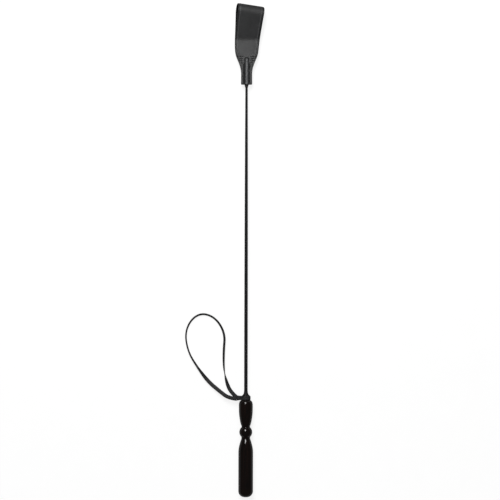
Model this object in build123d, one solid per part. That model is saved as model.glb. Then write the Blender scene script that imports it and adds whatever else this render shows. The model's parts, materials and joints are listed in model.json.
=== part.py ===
from build123d import *
import math
import os

os.makedirs("parts", exist_ok=True)

# A riding crop lying on a level surface, in millimetres. The origin is on the axis of the
# handle, at the middle of its straight grip. +Y runs along the crop from the butt to the
# keeper, +Z is up, and the surface is one grip radius below the axis.

# ---- turned handle ----
grip_radius = 9.8
grip_length = 60.0  # butt to the end of the straight grip
butt_round = 8.0  # radius of the rounded butt edge
waist_length = 18.8  # from the grip down to the lower groove
waist_curve = (0.43, 0.585)  # share of the drop, and of the length, at the waist's middle
lower_groove_radius = 5.8
upper_groove_radius = 5.65
groove_width = 1.6
bead_radius = 8.6
belly_radius = 9.3
belly_rise = 25.0  # upper groove to the widest part of the baluster
belly_curve = (0.73, 0.42)  # share of the swell, and of the rise, at the baluster's middle
shoulder_rise = 9.9  # widest part of the baluster to the strap neck
shoulder_straight = 0.42  # share of that rise which keeps the full width
neck_radius = 5.3

# ---- wrist strap ----
lace_width = 4.6
lace_thickness = 1.0
turn_end_gap = 0.3  # between the strap's turn and what stands above and below it
turn_fit = 0.05  # radial clearance of the turn on the neck
lay_on_gap = 0.05  # under the loop, where it lies on the surface
tab_start = 8.5  # from the axis to where the turn's two ends meet
tab_end = 12.7
pivot_reach = 15.0  # axis to the swing pivot of the loop
root_radius = 2.0  # gathered root of the loop at its pivot
tack_length = 3.4
tack_width = 0.7
thread_height = 0.4

# ---- shaft ----
shaft_length = 416.0  # handle to keeper mouth
shaft_root_radius = 2.25
shaft_tip_radius = 1.3
taper_power = 2.4  # the taper is slow at the root and quick at the tip
braid_wall = 0.35
glue_gap = 0.02  # radial, between rod, braid, socket and windings
socket_depth = 42.0
collar_catch = 0.4  # the collar's flange stands this far over the neck
collar_waist_wall = 1.5
collar_end_wall = 0.3
collar_length = 6.6

# ---- keeper ----
keeper_length = 107.8
leather = 1.5
mouth_half_width = 7.0
shoulder_half_width = 15.4
fold_half_width = 17.5
flare_start = 15.5  # from the keeper's mouth
flare_middle = 31.5
shoulder_start = 46.0
lean = 5.0  # degrees that the free loop leans towards +X
shaft_in_keeper = 34.0
binding_length = 4.5
binding_wall = 0.3
whipping_length = 4.0
whipping_radius = 3.3
hinge_gap = 0.3
joined_length = 10.0  # past the hinge, where both layers still lie together
stitch_length = 2.2
stitch_pitch = 3.0
stitch_width = 0.6
stitch_offset = 0.72  # edge of the tunnel to the middle of the rows beside it
cross_offset = 1.92  # edge of the tunnel to the cross rows
cross_pitch = 2.7
cross_rows = 4

# ---- stations along Y ----
butt = -(butt_round + grip_length) / 2
grip_top = butt + grip_length
lower_groove = grip_top + waist_length
bead_bottom = lower_groove + groove_width
bead_middle = bead_bottom + math.sqrt(bead_radius**2 - lower_groove_radius**2)
bead_top = bead_middle + math.sqrt(bead_radius**2 - upper_groove_radius**2)
upper_groove = bead_top + groove_width
belly = upper_groove + belly_rise
neck_bottom = belly + shoulder_rise
neck_top = neck_bottom + lace_width + 2 * turn_end_gap
neck_middle = (neck_bottom + neck_top) / 2
socket_bottom = neck_top - socket_depth
mouth = neck_top + shaft_length
shaft_end = mouth + shaft_in_keeper
hinge = mouth + shoulder_start - 2 * leather
keeper_end = mouth + keeper_length
half_depth = grip_radius  # the free loop is as deep as the grip, so the crop lies level

# ---- wrist strap route ----
# Across and along from the swing pivot, and the share of the way down from the neck's
# height to the surface, on which the lace stands on its edge.
strap_route = [
    (0.0, -1.2, 0.0),
    (-8.0, 1.2, 0.1),
    (-19.5, 8.3, 0.45),
    (-36.0, 21.5, 0.9),
    (-52.0, 43.0, 1.0),
    (-62.5, 61.0, 1.0),
    (-67.0, 85.5, 1.0),
    (-58.5, 105.0, 1.0),
    (-43.0, 113.5, 1.0),
    (-24.5, 105.5, 1.0),
    (-13.0, 85.0, 1.0),
    (-15.0, 62.0, 1.0),
    (-14.8, 37.0, 0.85),
    (-10.0, 17.5, 0.4),
    (-4.0, 7.0, 0.1),
    (0.0, 1.2, 0.0),
]


def save(solids, name):
    """Write one sub-part; a list of solids is a group in one node."""
    group = Compound(children=list(solids)) if isinstance(solids, list) else solids
    export_step(group, f"parts/{name}.step")


def turned(*edges):
    """Revolve a closed half outline, drawn as (radius, station), about the crop's axis."""
    return revolve(make_face(edges), Axis.Y)


def polygon_turned(points):
    """Revolve a half outline made of straight runs about the crop's axis."""
    return revolve(make_face(Polyline(*points, close=True)), Axis.Y)


def shaft_radius(station):
    """Outer radius of the braided shaft: full at the handle, quicker taper at the tip."""
    share = min(max((station - neck_top) / (shaft_end - neck_top), 0.0), 1.0)
    return shaft_tip_radius + (shaft_root_radius - shaft_tip_radius) * (1 - share**taper_power)


def taper(start, end, inset, steps=8):
    """Points of the shaft's tapered outline between two stations, moved in by inset."""
    stations = [start + (end - start) * i / steps for i in range(steps + 1)]
    return [(shaft_radius(station) - inset, station) for station in stations]


def rod(radius, start, end):
    """A cylinder along the crop's axis."""
    return Pos(0, (start + end) / 2, 0) * Rot(90, 0, 0) * Cylinder(radius, end - start)


# ---- handle ----
def handle():
    """Turned handle: round butt, straight grip, bead, baluster and strap neck."""
    waist_middle = (
        grip_radius - waist_curve[0] * (grip_radius - lower_groove_radius),
        grip_top + waist_curve[1] * waist_length,
    )
    belly_middle = (
        upper_groove_radius + belly_curve[0] * (belly_radius - upper_groove_radius),
        upper_groove + belly_curve[1] * belly_rise,
    )
    shoulder_low = belly + shoulder_straight * shoulder_rise
    body = turned(
        Line((0, butt), (grip_radius - butt_round, butt)),
        CenterArc((grip_radius - butt_round, butt + butt_round), butt_round, -90, 90),
        Line((grip_radius, butt + butt_round), (grip_radius, grip_top)),
        Spline(
            (grip_radius, grip_top), waist_middle, (lower_groove_radius, lower_groove),
            tangents=[(0, 1), (-0.35, 1)],
        ),
        Line((lower_groove_radius, lower_groove), (lower_groove_radius, bead_bottom)),
        ThreePointArc(
            (lower_groove_radius, bead_bottom), (bead_radius, bead_middle), (upper_groove_radius, bead_top)
        ),
        Line((upper_groove_radius, bead_top), (upper_groove_radius, upper_groove)),
        Spline(
            (upper_groove_radius, upper_groove), belly_middle, (belly_radius, belly),
            tangents=[(0.45, 1), (0, 1)],
        ),
        Line((belly_radius, belly), (belly_radius, shoulder_low)),
        Spline(
            (belly_radius, shoulder_low), (neck_radius, neck_bottom),
            tangents=[(0, 1), (-1, 0.25)],
        ),
        Line((neck_radius, neck_bottom), (neck_radius, neck_top)),
        Line((neck_radius, neck_top), (0, neck_top)),
        Line((0, neck_top), (0, butt)),
    )
    socket_radius = shaft_root_radius - braid_wall
    return body - rod(socket_radius, socket_bottom, neck_top + 1)


# ---- shaft ----
def shaft_core():
    """Tapered rod, glued into the handle's socket and ending inside the keeper."""
    root = shaft_root_radius - braid_wall - glue_gap
    points = [(0, socket_bottom), (root, socket_bottom), (root, neck_top)]
    points += taper(neck_top, shaft_end, braid_wall + glue_gap)[1:]
    points += [(0, shaft_end)]
    return polygon_turned(points)


def shaft_cover():
    """Braided sleeve over the rod, from the handle's end face to the rod's tip."""
    outside = taper(neck_top, shaft_end, 0)
    inside = taper(neck_top, shaft_end, braid_wall)
    return polygon_turned(outside + inside[::-1])


def collar_whipping():
    """Wound, flared collar that hides the joint of shaft and handle and keeps the strap on."""
    bore = shaft_root_radius + glue_gap
    flange = (neck_radius + collar_catch, neck_top)
    waist = (shaft_root_radius + collar_waist_wall, neck_top + 0.3 * collar_length)
    thin_end = (shaft_root_radius + collar_end_wall, neck_top + collar_length)
    return turned(
        Line((bore, neck_top), flange),
        Spline(flange, waist, thin_end, tangents=[(-0.5, 1), (0, 1)]),
        Line(thin_end, (bore, thin_end[1])),
        Line((bore, thin_end[1]), (bore, neck_top)),
    )


def tip_binding():
    """Thread wound over the braid's cut end, inside the keeper."""
    start = shaft_end - binding_length
    inner = shaft_radius(start) + glue_gap
    return rod(inner + binding_wall, start, shaft_end) - rod(inner, start - 1, shaft_end + 1)


def mouth_whipping():
    """Thread wound round the shaft as a small cone at the keeper's mouth."""
    start = mouth - whipping_length
    bore = shaft_radius(start) + glue_gap
    return turned(
        Line((bore, start), (bore + binding_wall, start)),
        Spline((bore + binding_wall, start), (whipping_radius, mouth), tangents=[(0.25, 1), (1, 0.3)]),
        Line((whipping_radius, mouth), (bore, mouth)),
        Line((bore, mouth), (bore, start)),
    )


# ---- keeper ----
def keeper_plan():
    """Outline of the leather strip seen from above, before its free end leans."""
    side = [
        Spline(
            (mouth_half_width, mouth),
            (mouth_half_width + 0.3, mouth + flare_start),
            ((mouth_half_width + shoulder_half_width) / 2, mouth + flare_middle),
            (shoulder_half_width, mouth + shoulder_start),
            tangents=[(0, 1), (0.04, 1)],
        ),
        Line((shoulder_half_width, mouth + shoulder_start), (fold_half_width, keeper_end + leather)),
    ]
    ends = [
        Line((-mouth_half_width, mouth), (mouth_half_width, mouth)),
        Line((fold_half_width, keeper_end + leather), (-fold_half_width, keeper_end + leather)),
    ]
    return make_face(side + [mirror(edge, Plane.YZ) for edge in side] + ends)


def leaned(shape):
    """Turn a shape of the free loop about the flex line, towards +X."""
    return Pos(0, hinge, 0) * Rot(0, 0, -lean) * Pos(0, -hinge, 0) * shape


def channel(radius, end):
    """Round-ended tunnel shape along the shaft, from the keeper's mouth."""
    return rod(radius, mouth, end) + Pos(0, end, 0) * Sphere(radius)


channel_bore = shaft_radius(mouth) + glue_gap
pocket_radius = shaft_radius(shaft_end - binding_length) + binding_wall + 2 * glue_gap


def keeper_leaf(side):
    """One stitched leaf of the keeper, half of the tunnel round the shaft; side is +1 or -1."""
    leaf = extrude(keeper_plan(), amount=side * leather)
    big = 2 * keeper_length
    past_hinge = Pos(0, hinge - leather - hinge_gap + big / 2, 0) * Box(big, big, big)
    leaf -= leaned(past_hinge)
    half_space = Pos(0, mouth, side * big / 2) * Box(big, big, big)
    tunnel = channel(pocket_radius + leather, shaft_end) & half_space
    tunnel &= Pos(0, mouth + big / 2, 0) * Box(big, big, big)
    leaf += tunnel
    leaf -= rod(channel_bore, mouth - 1, shaft_end)
    leaf -= channel(pocket_radius, shaft_end) & (
        Pos(0, shaft_end - binding_length - hinge_gap + big / 2, 0) * Box(big, big, big)
    )
    return leaf


def teardrop(depth, start, first_slope):
    """Upper and lower edge of the folded loop seen from the side, drawn as (station, height)."""
    middle = keeper_end - half_depth
    level = depth - half_depth + leather
    upper = Spline((start, level), (middle, depth), tangents=[(1, first_slope), (1, 0)])
    lower = Spline((start, -level), (middle, -depth), tangents=[(1, -first_slope), (1, 0)])
    fold = ThreePointArc((middle, depth), (middle + depth, 0), (middle, -depth))
    return [upper, fold, lower]


def keeper_fold():
    """Free loop of the keeper: flat past the stitches, then open like a teardrop."""
    parting = hinge + joined_length
    root = [
        ThreePointArc((hinge, -leather), (hinge - leather, 0), (hinge, leather)),
        Line((hinge, leather), (parting, leather)),
        Line((parting, -leather), (hinge, -leather)),
    ]
    outside = make_face(root + teardrop(half_depth, parting, 0))
    inside = make_face(teardrop(half_depth - leather, parting + 3 * leather, 0.2))
    width = 3 * fold_half_width
    ring = extrude(Plane.YZ * (outside - inside), amount=width / 2, both=True)
    strip = extrude(keeper_plan(), amount=2 * half_depth, both=True)
    return leaned(ring & strip)


def stitch(x, y, turn):
    """A short bar of thread that lies on the leather's face on both sides."""
    bar = extrude(SlotOverall(stitch_length, stitch_width), amount=thread_height)
    front = Pos(x, y, leather) * Rot(0, 0, turn) * bar
    return [front, mirror(front, Plane.XY)]


def channel_stitches(side):
    """A row of stitches along one side of the tunnel; side is +1 or -1."""
    across = pocket_radius + leather + stitch_offset
    count = int((flare_middle - stitch_pitch) / stitch_pitch)
    return [
        bar
        for i in range(count)
        for bar in stitch(side * across, mouth + stitch_pitch * (i + 0.75), 90)
    ]


def cross_stitches(side):
    """Short rows across the flare at one side of the tunnel; side is +1 or -1."""
    bars = []
    inner = pocket_radius + leather + cross_offset
    for row in range(cross_rows):
        y = mouth + flare_middle - stitch_pitch + cross_pitch * row
        for i in range(1 + (row + 1) // 2):
            bars += stitch(side * (inner + stitch_length / 2 + stitch_pitch * i), y, 0)
    return bars


# ---- wrist strap ----
def strap_turn():
    """Turn of the lace round the neck, its two ends laid together as a tab."""
    inner = neck_radius + turn_fit
    meeting = Pos(-tab_start, 0)
    outer_edges = Circle(inner + lace_thickness).edges() + (meeting * Circle(lace_thickness)).edges()
    inner_edges = Circle(inner).edges() + (meeting * Circle(lace_thickness / 10)).edges()
    outline = make_hull(outer_edges)
    hole = make_hull(inner_edges)
    tab = Pos(-(tab_start + tab_end) / 2, 0) * Rectangle(tab_end - tab_start, 2 * lace_thickness)
    section = Plane.XZ.offset(-neck_middle) * (outline - hole + (tab - hole))
    return extrude(section, amount=lace_width / 2, both=True)


def strap_tack():
    """Two stitches that hold the tab's layers together, above and below."""
    bar = extrude(SlotOverall(tack_length, tack_width), amount=thread_height)
    top = Pos(-(tab_start + tab_end) / 2, neck_middle, lace_thickness) * Rot(0, 0, 90) * bar
    return [top, mirror(top, Plane.XY)]


def route_radii(points):
    """Largest bend at each corner of a route: 0.45 of the shorter run over tan(half turn)."""
    radii = []
    for before, corner, after in zip(points, points[1:], points[2:]):
        turn = math.radians((corner - before).get_angle(after - corner))
        shorter = min((corner - before).length, (after - corner).length)
        radii.append(0.45 * shorter / math.tan(turn / 2))
    return radii


def wrist_loop():
    """Free loop of the lace, standing on its edge on the surface, with its gathered root."""
    drop = grip_radius - lace_width / 2 - lay_on_gap
    points = [
        Vector(x - pivot_reach, y + neck_middle, -drop * share) for x, y, share in strap_route
    ]
    radii = route_radii(points)
    path = FilletPolyline(*points, radius=radii)
    start = Plane(origin=points[0], x_dir=(0, 0, 1), z_dir=path % 0)
    lace = sweep(start * Rectangle(lace_width, lace_thickness), path=path)
    expected = lace_width * lace_thickness * path.length
    print(f"strap bends {[round(radius, 1) for radius in radii]}")
    print(f"strap length {path.length:.1f}, volume {lace.volume:.0f} of {expected:.0f}")
    root = Pos(-pivot_reach, neck_middle, 0) * Cylinder(root_radius, lace_width)
    return lace + root


save(handle(), "handle")
save(shaft_core(), "shaft_core")
save(shaft_cover(), "shaft_cover")
save(collar_whipping(), "collar_whipping")
save(tip_binding(), "tip_binding")
save(mouth_whipping(), "mouth_whipping")
save(keeper_leaf(1), "keeper_front_leaf")
save(keeper_leaf(-1), "keeper_back_leaf")
save(keeper_fold(), "keeper_fold")
save(channel_stitches(-1), "channel_stitches_left")
save(channel_stitches(1), "channel_stitches_right")
save(cross_stitches(-1), "cross_stitches_left")
save(cross_stitches(1), "cross_stitches_right")
save(strap_turn(), "strap_turn")
save(strap_tack(), "strap_tack")
save(wrist_loop(), "wrist_loop")
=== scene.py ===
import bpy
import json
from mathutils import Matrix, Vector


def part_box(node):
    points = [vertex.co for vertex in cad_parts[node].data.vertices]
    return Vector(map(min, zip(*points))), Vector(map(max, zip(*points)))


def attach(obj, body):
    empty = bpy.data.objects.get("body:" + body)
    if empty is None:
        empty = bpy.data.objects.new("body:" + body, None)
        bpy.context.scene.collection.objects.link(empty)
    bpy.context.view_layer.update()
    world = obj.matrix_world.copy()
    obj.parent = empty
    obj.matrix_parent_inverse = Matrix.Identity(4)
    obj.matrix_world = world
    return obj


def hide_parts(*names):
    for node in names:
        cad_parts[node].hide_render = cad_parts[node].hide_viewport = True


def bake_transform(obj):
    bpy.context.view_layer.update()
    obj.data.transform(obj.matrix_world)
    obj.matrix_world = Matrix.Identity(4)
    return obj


bl_info = {
    "name": "Riding crop",
    "version": (1, 0, 0),
    "blender": (4, 5, 0),
    "location": "3D View > Sidebar > Riding crop",
    "description": "Builds the finished handle, shaft, keeper and wrist strap of a riding crop",
    "category": "Mesh",
}

import json
import math

import bpy
import numpy as np
from bpy.props import FloatProperty, FloatVectorProperty, IntProperty, PointerProperty
from mathutils import Vector

# The frame is in metres, +Y from the butt to the keeper and +Z up from the floor.
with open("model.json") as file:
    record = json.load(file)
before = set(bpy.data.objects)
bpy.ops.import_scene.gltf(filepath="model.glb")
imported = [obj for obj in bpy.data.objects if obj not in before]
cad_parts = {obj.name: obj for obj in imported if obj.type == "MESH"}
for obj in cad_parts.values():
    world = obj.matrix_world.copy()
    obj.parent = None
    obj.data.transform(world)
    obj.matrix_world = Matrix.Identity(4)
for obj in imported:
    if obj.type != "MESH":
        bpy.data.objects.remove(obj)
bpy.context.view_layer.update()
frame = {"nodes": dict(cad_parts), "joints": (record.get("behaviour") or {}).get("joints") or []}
MM = 0.001

HANDLE_LOW, HANDLE_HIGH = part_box("handle")
COVER_LOW, COVER_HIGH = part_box("shaft_cover")
COLLAR_LOW, COLLAR_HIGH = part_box("collar_whipping")
MOUTH_LOW, MOUTH_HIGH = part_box("mouth_whipping")
LEAF_LOW, LEAF_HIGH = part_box("keeper_front_leaf")
FOLD_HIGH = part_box("keeper_fold")[1]
TURN_LOW, TURN_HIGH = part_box("strap_turn")
JOINTS = {joint["name"]: joint for joint in frame["joints"]}
PIVOT = np.array(JOINTS["loop_swing"]["pos_m"])
HINGE = JOINTS["keeper_flex"]["pos_m"][1]
FLOOR = HANDLE_LOW.z
# The braid stands a little proud of the plain cover, whose tip radius is 1.3 mm.
BRAID_PROUD = 0.12 * MM
TAPER_POWER = 2.4
SHAFT_ROOT = COVER_HIGH.x + BRAID_PROUD
SHAFT_TIP = 1.3 * MM + BRAID_PROUD
SOCKET_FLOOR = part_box("shaft_core")[0].y

# Middle line of the wrist loop's lace: across and along from the swing pivot, and height
# above the crop's axis, in millimetres. It lies on the floor round the far part of the loop.
LACE_ROUTE = [
    (2.4, -1.2, 0.55),
    (-8.0, -0.2, 0.2),
    (-19.5, 8.0, -3.2),
    (-36.0, 21.5, -6.6),
    (-52.0, 43.0, -7.1),
    (-62.5, 61.0, -7.1),
    (-67.0, 85.5, -7.1),
    (-58.5, 105.0, -7.1),
    (-43.0, 113.5, -7.1),
    (-24.5, 105.5, -7.1),
    (-13.0, 85.0, -7.1),
    (-15.0, 62.0, -7.1),
    (-14.8, 37.0, -6.3),
    (-10.0, 17.5, -3.2),
    (-4.4, 7.0, -1.0),
    (2.4, 1.2, -0.55),
]
# Tilt of the lace about its own line, from flat (0) to on edge (90): share of the way round
# the loop, and degrees.
LACE_TILT = [
    (0.00, 0), (0.06, 2), (0.10, 5), (0.15, 14), (0.19, 36), (0.23, 60), (0.28, 71), (0.36, 75),
    (0.45, 71), (0.52, 64), (0.60, 62), (0.70, 58), (0.80, 59), (0.85, 70), (0.875, 82), (0.905, 50),
    (0.94, 16), (1.00, 0),
]


# ---- curves and grids ----
def eased(at, knots):
    """Value at each position of a curve through knots of (position, value, slope).

    Between two knots it is the cubic that has both values and both slopes.
    """
    x, y, slope = np.array(knots, float).T
    i = np.clip(np.searchsorted(x, at) - 1, 0, len(x) - 2)
    run = x[i + 1] - x[i]
    t = np.clip((at - x[i]) / run, 0, 1)
    first = (1 + 2 * t) * (1 - t) ** 2 * y[i] + t * (1 - t) ** 2 * run * slope[i]
    second = t * t * (3 - 2 * t) * y[i + 1] + t * t * (t - 1) * run * slope[i + 1]
    return first + second


def through(at, knots):
    """Like eased, for knots of (position, value); each slope is that of the chords beside it."""
    x, y = np.array(knots, float).T
    return eased(at, np.stack([x, y, np.gradient(y, x)], axis=1))


def smoothstep(at, start, end):
    """0 before start, 1 after end, and 3t^2 - 2t^3 between them."""
    t = np.clip((at - start) / (end - start), 0, 1)
    return t * t * (3 - 2 * t)


def travelled(points):
    """Distance along a line at each of its points."""
    return np.concatenate([[0], np.cumsum(np.linalg.norm(np.diff(points, axis=0), axis=1))])


def spaced(points, step, softenings=0):
    """The line through points, divided evenly, with its corners softened.

    A softening moves each point but the end ones to a quarter of both neighbours and half
    of itself.
    """
    points = np.asarray(points, float)
    along = travelled(points)
    at = np.linspace(0, along[-1], int(round(along[-1] / step)) + 1)
    line = np.stack([np.interp(at, along, column) for column in points.T], axis=1)
    for _ in range(softenings):
        line[1:-1] = (line[:-2] + 2 * line[1:-1] + line[2:]) / 4
    return line


def hump(distance, width, power=2):
    """1 where the distance is 0, falling on both sides as exp(-|distance / width|^power)."""
    return np.exp(-np.abs(distance / width) ** power)


def unit(vectors):
    """Each vector divided by its length."""
    return vectors / np.linalg.norm(vectors, axis=-1, keepdims=True)


def turned(radius, station, angle):
    """Points (r sin a, y, r cos a) about the Y axis."""
    radius, station, angle = np.broadcast_arrays(radius, station, angle)
    return np.stack([radius * np.sin(angle), station, radius * np.cos(angle)], axis=2)


def build(name, points, uv, ring=False, ends=None, masks=None):
    """Mesh object of a grid of points (rows, columns, 3) whose columns close on themselves.

    uv is (rows, columns + 1, 2) in metres, with one row more if ring closes the rows too.
    ends is "poles" for a fan to the middle of each end row, or "strips" for faces between
    columns j and last - j of it. masks are point attributes, one value per grid point. The
    faces are turned over if the volume that they enclose comes out negative.
    """
    rows, columns = points.shape[:2]
    i, j = np.meshgrid(np.arange(rows if ring else rows - 1), np.arange(columns), indexing="ij")
    corners = [(i, j), (i, j + 1), (i + 1, j + 1), (i + 1, j)]
    quads = np.stack([(a % rows) * columns + b % columns for a, b in corners], axis=-1).reshape(-1, 4)
    quad_uv = np.stack([uv[a, b] for a, b in corners], axis=-2).reshape(-1, 4, 2)
    vertices = points.reshape(-1, 3)
    faces = [quads]
    face_uv = [quad_uv]
    for row, order in ((0, -1), (rows - 1, 1)):
        edge = row * columns + np.arange(columns)
        if ends == "poles":
            centre = points[row].mean(axis=0)
            vertices = np.vstack([vertices, centre])
            fan = np.stack([edge, np.roll(edge, -1), np.full(columns, len(vertices) - 1)], axis=1)
            fan_uv = np.stack([uv[row, :-1], uv[row, 1:], (uv[row, :-1] + uv[row, 1:]) / 2], axis=1)
            faces.append(fan[:, ::order])
            face_uv.append(fan_uv[:, ::order])
        if ends == "strips":
            first = np.arange(columns // 2 - 1)
            turn = np.stack([first, first + 1, columns - 2 - first, columns - 1 - first], axis=1)
            faces.append(edge[turn][:, ::order])
            face_uv.append(uv[row][turn][:, ::order])
    volume = 0.0
    for group in faces:
        a, b, c = (vertices[group[:, k]] for k in (0, 1, 2))
        volume += (a * np.cross(b, c)).sum()
        if group.shape[1] == 4:
            volume += (a * np.cross(c, vertices[group[:, 3]])).sum()
    if volume < 0:
        faces = [group[:, ::-1] for group in faces]
        face_uv = [group[:, ::-1] for group in face_uv]
    mesh = bpy.data.meshes.new(name)
    mesh.from_pydata(vertices.tolist(), [], [face for group in faces for face in group.tolist()])
    layer = mesh.uv_layers.new(name="UVMap")
    flat_uv = np.concatenate([group.reshape(-1) for group in face_uv])
    layer.data.foreach_set("uv", flat_uv.astype(np.float32))
    for label, values in (masks or {}).items():
        attribute = mesh.attributes.new(label, "FLOAT", "POINT")
        padded = np.zeros(len(vertices), np.float32)
        padded[: rows * columns] = np.broadcast_to(values, (rows, columns)).reshape(-1)
        attribute.data.foreach_set("value", padded)
    mesh.shade_smooth()
    piece = bpy.data.objects.new(name, mesh)
    bpy.context.scene.collection.objects.link(piece)
    return piece


def revolve(name, outline, columns):
    """Closed surface of revolution about Y, through each (radius, station) of the outline."""
    angle = np.linspace(0, 2 * math.pi, columns + 1)
    points = turned(outline[:, :1], outline[:, 1:], angle[:-1])
    along, round_it = np.broadcast_arrays(travelled(outline)[:, None], angle * outline[:, 0].max())
    return build(name, points, np.stack([along, round_it], axis=2), ends="poles")


def slab(name, upper, lower, along, across, masks):
    """Closed thin piece between two grids of the same size, joined along their rims. masks
    has a pair of point grids for each name, for the upper and the lower side."""
    points = np.concatenate([upper, lower[:, ::-1]], axis=1)
    width = across[:, -1:]
    around = np.concatenate([across, across[:, ::-1] + 2 * width, across[:, :1] + 4 * width], axis=1)
    uv = np.stack([np.broadcast_to(along[:, None], around.shape), around], axis=2)
    both = {label: np.concatenate([a, b[:, ::-1]], axis=1) for label, (a, b) in masks.items()}
    return build(name, points, uv, ends="strips", masks=both)


def rim(samples, round_off, half_width):
    """Across a strip: positions from -1 to 1, dense at both edges, and the share of the full
    thickness there, which falls as a quarter circle over the last round_off."""
    turn = np.linspace(0, math.pi / 2, 6)
    edge = 1 - round_off / half_width * (1 - np.sin(turn))
    middle = np.linspace(-edge[0], edge[0], samples)[1:-1]
    at = np.concatenate([-edge[::-1], middle, edge])
    inside = np.clip((np.abs(at) - edge[0]) / (1 - edge[0]), 0, 1)
    return at, np.sqrt(np.maximum(1 - inside**2, 0))


def coat(piece, *materials):
    """Gives an object its materials and no others."""
    piece.data.materials.clear()
    for material in materials:
        piece.data.materials.append(material)


def dress(piece, body, slot, material, *nodes):
    """Gives a piece its material and, when it has one, its body, and hides the CAD nodes that it
    stands for. The slot argument is not used. A piece without a body is left unattached."""
    coat(piece, material)
    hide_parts(*nodes)
    if body:
        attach(piece, body)


# ---- shader building ----
WARM_WOOD = (0.009, 0.004, 0.003, 1.0)
PALE_DUST = (0.25, 0.24, 0.22, 1.0)


def feed(tree, node, inputs):
    """Gives a node its inputs; one is linked if its value is a socket, and set otherwise."""
    for label, value in dict(inputs).items():
        if isinstance(value, bpy.types.NodeSocket):
            tree.links.new(value, node.inputs[label])
        else:
            node.inputs[label].default_value = value
    return node


def add(tree, kind, inputs=(), **settings):
    """One shader node; its settings come first, because a group's inputs come from its tree."""
    node = tree.nodes.new("ShaderNode" + kind)
    for label, value in settings.items():
        setattr(node, label, value)
    return feed(tree, node, inputs)


def maths(tree, operation, *values, clamp=False):
    """Output of one Math node."""
    return add(tree, "Math", enumerate(values), operation=operation, use_clamp=clamp).outputs[0]


def between(tree, value, low, high, new_low=0.0, new_high=1.0):
    """Value taken from the range low..high to new_low..new_high, and held inside it."""
    inputs = {"Value": value, "From Min": low, "From Max": high, "To Min": new_low, "To Max": new_high}
    return add(tree, "MapRange", inputs).outputs[0]


def mixed(tree, share, first, second):
    """Colour between two colours."""
    return add(tree, "Mix", {0: share, 6: first, 7: second}, data_type="RGBA").outputs[2]


def noise(tree, vector, scale, detail=3.0, rough=0.55):
    """Soft random value from 0 to 1."""
    inputs = {"Vector": vector, "Scale": scale, "Detail": detail, "Roughness": rough}
    return add(tree, "TexNoise", inputs).outputs["Fac"]


def stretched(tree, vector, scale):
    """Vector multiplied by a scale for each direction."""
    return add(tree, "Mapping", {"Vector": vector, "Scale": scale}).outputs["Vector"]


def effect(name, inputs, outputs):
    """Empty node group with named inputs (name, socket type, value) and outputs."""
    tree = bpy.data.node_groups.new(name, "ShaderNodeTree")
    for label, kind, value in inputs:
        socket = tree.interface.new_socket(label, in_out="INPUT", socket_type="NodeSocket" + kind)
        if value is not None:
            socket.default_value = value
    for label in outputs:
        tree.interface.new_socket(label, in_out="OUTPUT", socket_type="NodeSocketFloat")
    return tree, tree.nodes.new("NodeGroupInput").outputs, tree.nodes.new("NodeGroupOutput").inputs


def noise_vector(tree, vector, scale):
    """Small random shift that keeps cells from lining up."""
    colour = add(tree, "TexNoise", {"Vector": vector, "Scale": scale, "Detail": 1.0}).outputs["Color"]
    reach = (1.2 * MM, 1.2 * MM, 1.2 * MM)
    return add(tree, "VectorMath", {0: colour, 1: reach}, operation="MULTIPLY").outputs[0]


def leather_grain():
    """Pebbled grain: rounded cells split by fine creases, with a few deeper pores."""
    sockets = [("Vector", "Vector", None), ("Cells", "Float", 2200.0), ("Crease", "Float", 0.5)]
    tree, given, made = effect("leather_grain", sockets, ["Height", "Pores"])
    bent = add(tree, "VectorMath", {0: given["Vector"], 1: noise_vector(tree, given["Vector"], 260.0)})
    inputs = {"Vector": bent.outputs[0], "Scale": given["Cells"]}
    cells = add(tree, "TexVoronoi", inputs, feature="SMOOTH_F1").outputs["Distance"]
    folds = add(tree, "TexVoronoi", inputs, feature="DISTANCE_TO_EDGE").outputs["Distance"]
    fine = noise(tree, given["Vector"], 5200.0, 2.0)
    lines = between(tree, folds, 0.0, 0.16)
    creased = maths(tree, "MULTIPLY", maths(tree, "SUBTRACT", 1.0, lines), given["Crease"])
    height = maths(tree, "SUBTRACT", maths(tree, "SUBTRACT", 1.0, cells), creased)
    tree.links.new(maths(tree, "MULTIPLY_ADD", fine, 0.25, height), made["Height"])
    patches = noise(tree, given["Vector"], 900.0, 2.0)
    tree.links.new(between(tree, patches, 0.66, 0.78), made["Pores"])
    return tree


def twisted_thread():
    """Plied thread: slanting plies across UV, each made of fine fibres."""
    sockets = [("Vector", "Vector", None), ("Plies", "Float", 1200.0), ("Slant", "Float", 1.0)]
    tree, given, made = effect("twisted_thread", sockets, ["Height", "Fibres"])
    parts = add(tree, "SeparateXYZ", {0: given["Vector"]}).outputs
    leaning = maths(tree, "MULTIPLY_ADD", parts[1], given["Slant"], parts[0])
    phase = maths(tree, "MULTIPLY", leaning, given["Plies"])
    plies = maths(tree, "ABSOLUTE", maths(tree, "SINE", maths(tree, "MULTIPLY", phase, math.pi)))
    across = add(tree, "CombineXYZ", {0: leaning, 1: maths(tree, "MULTIPLY", parts[1], 0.12)}).outputs[0]
    fibres = noise(tree, across, 16000.0, 2.0, 0.7)
    tree.links.new(maths(tree, "MULTIPLY_ADD", fibres, 0.3, maths(tree, "POWER", plies, 0.6)), made["Height"])
    tree.links.new(fibres, made["Fibres"])
    return tree


def edge_wear():
    """Pale rims: the rim mask broken up by noise; rubbed edges on the lace, and a painted highlight on the
    keeper's tunnel crown and crease lips.
    """
    sockets = [("Vector", "Vector", None), ("Rim", "Float", 0.0), ("Amount", "Float", 0.5)]
    tree, given, made = effect("edge_wear", sockets, ["Worn"])
    patchy = between(tree, noise(tree, given["Vector"], 420.0, 4.0, 0.65), 0.3, 0.7)
    pale_rim_and_highlight = maths(tree, "MULTIPLY", maths(tree, "MULTIPLY", given["Rim"], patchy), given["Amount"], clamp=True)
    tree.links.new(pale_rim_and_highlight, made["Worn"])
    return tree


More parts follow.
